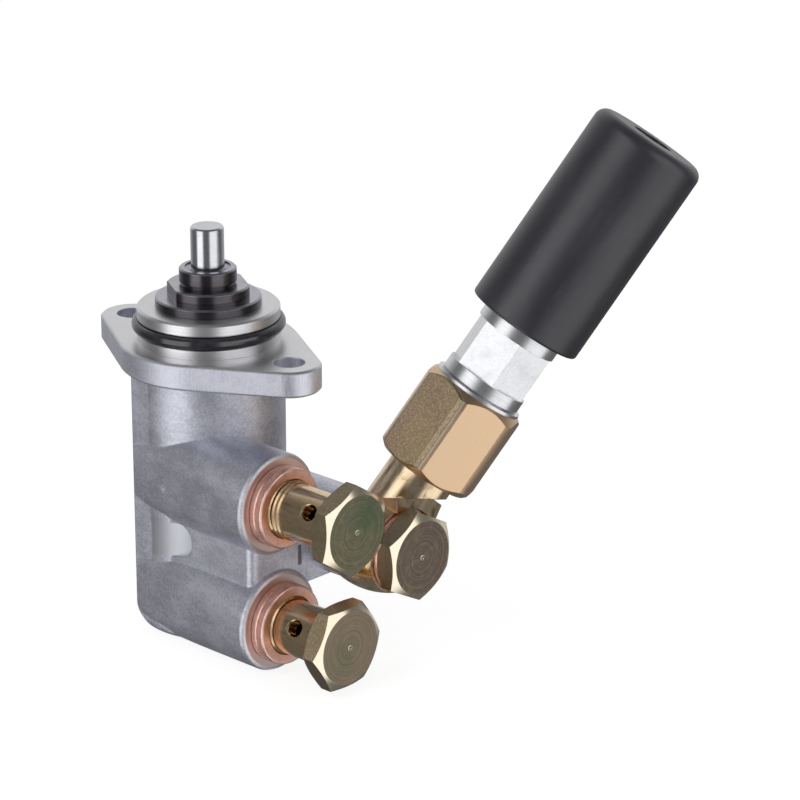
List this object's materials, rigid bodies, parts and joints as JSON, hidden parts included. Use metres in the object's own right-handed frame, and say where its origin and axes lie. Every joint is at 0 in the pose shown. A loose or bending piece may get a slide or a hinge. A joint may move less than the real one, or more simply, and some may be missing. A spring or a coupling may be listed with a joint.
{
  "type": "fuel lift pump",
  "caption": "Piston fuel lift pump with a flange spigot, push pin, banjo-bolted ports and a leaning hand primer with a black knob.",
  "frame": {"origin": "on the pump axis, in the plane of the flange's mounting face", "axes": "+Z along the push pin, away from the barrel; the ports point to -Y; the hand primer is on the +X side"},
  "size_m": [0.1127, 0.1459, 0.1487],
  "materials": {
    "housing_cast": "die-cast, satin",
    "guide_steel": "phosphated, dark sheen",
    "pin_steel": "ground bright",
    "seal_rubber": "glossy",
    "copper": "soft copper, matt",
    "zinc_yellow": "yellow zinc plate",
    "nut_zinc": "yellow zinc plate",
    "sleeve_aluminium": "turned bright",
    "knob_plastic": "fine grain",
    "spring_steel": "drawn wire",
    "valve_brass": "machined"
  },
  "bodies": {
    "pump": {"pump_housing": "housing_cast", "flange_ring": "seal_rubber", "tappet_guide": "guide_steel", "guide_seal_ring": "copper", "pin_seal": "seal_rubber", "piston_spring": "spring_steel", "outlet_bolt": "zinc_yellow", "inlet_bolt": "zinc_yellow", "primer_bolt": "zinc_yellow", "primer_washer_inner": "copper", "primer_washer_outer": "copper", "primer_banjo": "nut_zinc", "primer_union_nut": "nut_zinc", "primer_lock_ring": "pin_steel", "primer_sleeve": "sleeve_aluminium", "outlet_valve_stop": "spring_steel", "outlet_washer_inner": "copper", "outlet_washer_outer": "copper", "outlet_valve_seat": "valve_brass", "outlet_valve_spring": "spring_steel", "inlet_washer_inner": "copper", "inlet_washer_outer": "copper", "inlet_valve_seat": "valve_brass", "inlet_valve_spring": "spring_steel"},
    "pin": {"push_pin": "pin_steel"},
    "piston": {"pump_piston": "pin_steel"},
    "inlet_valve": {"inlet_valve_plate": "valve_brass"},
    "outlet_valve": {"outlet_valve_plate": "valve_brass"},
    "primer_plunger": {"primer_piston": "sleeve_aluminium", "primer_cup_seal": "seal_rubber"},
    "primer_handle": {"primer_rod": "pin_steel", "primer_knob": "knob_plastic"}
  },
  "joints": [
    {"name": "piston_stroke", "type": "slide", "parent": "pump", "child": "piston", "axis": [0, 0, 1], "range_m": [-0.008, 0], "stiffness_N_per_m": 1500, "springref_m": 0.01, "deforming": ["piston_spring"]},
    {"name": "pin_stroke", "type": "slide", "parent": "pump", "child": "pin", "axis": [0, 0, 1], "range_m": [-0.008, 0]},
    {"name": "inlet_valve_lift", "type": "slide", "parent": "pump", "child": "inlet_valve", "axis": [0, 1, 0], "range_m": [0, 0.0015], "stiffness_N_per_m": 200, "springref_m": -0.003, "deforming": ["inlet_valve_spring"]},
    {"name": "outlet_valve_lift", "type": "slide", "parent": "pump", "child": "outlet_valve", "axis": [0, -1, 0], "range_m": [0, 0.0015], "stiffness_N_per_m": 200, "springref_m": -0.003, "deforming": ["outlet_valve_spring"]},
    {"name": "primer_stroke", "type": "slide", "parent": "pump", "child": "primer_plunger", "axis": [0.4685, -0.3256, 0.8213], "range_m": [0, 0.03]},
    {"name": "primer_knob_turn", "type": "hinge", "parent": "primer_plunger", "child": "primer_handle", "pos_m": [0.0126, -0.0497, -0.0493], "axis": [0.4685, -0.3256, 0.8213], "continuous": true}
  ],
  "couplings": [
    {"joint": "pin_stroke", "follows": "piston_stroke", "ratio": 1}
  ]
}
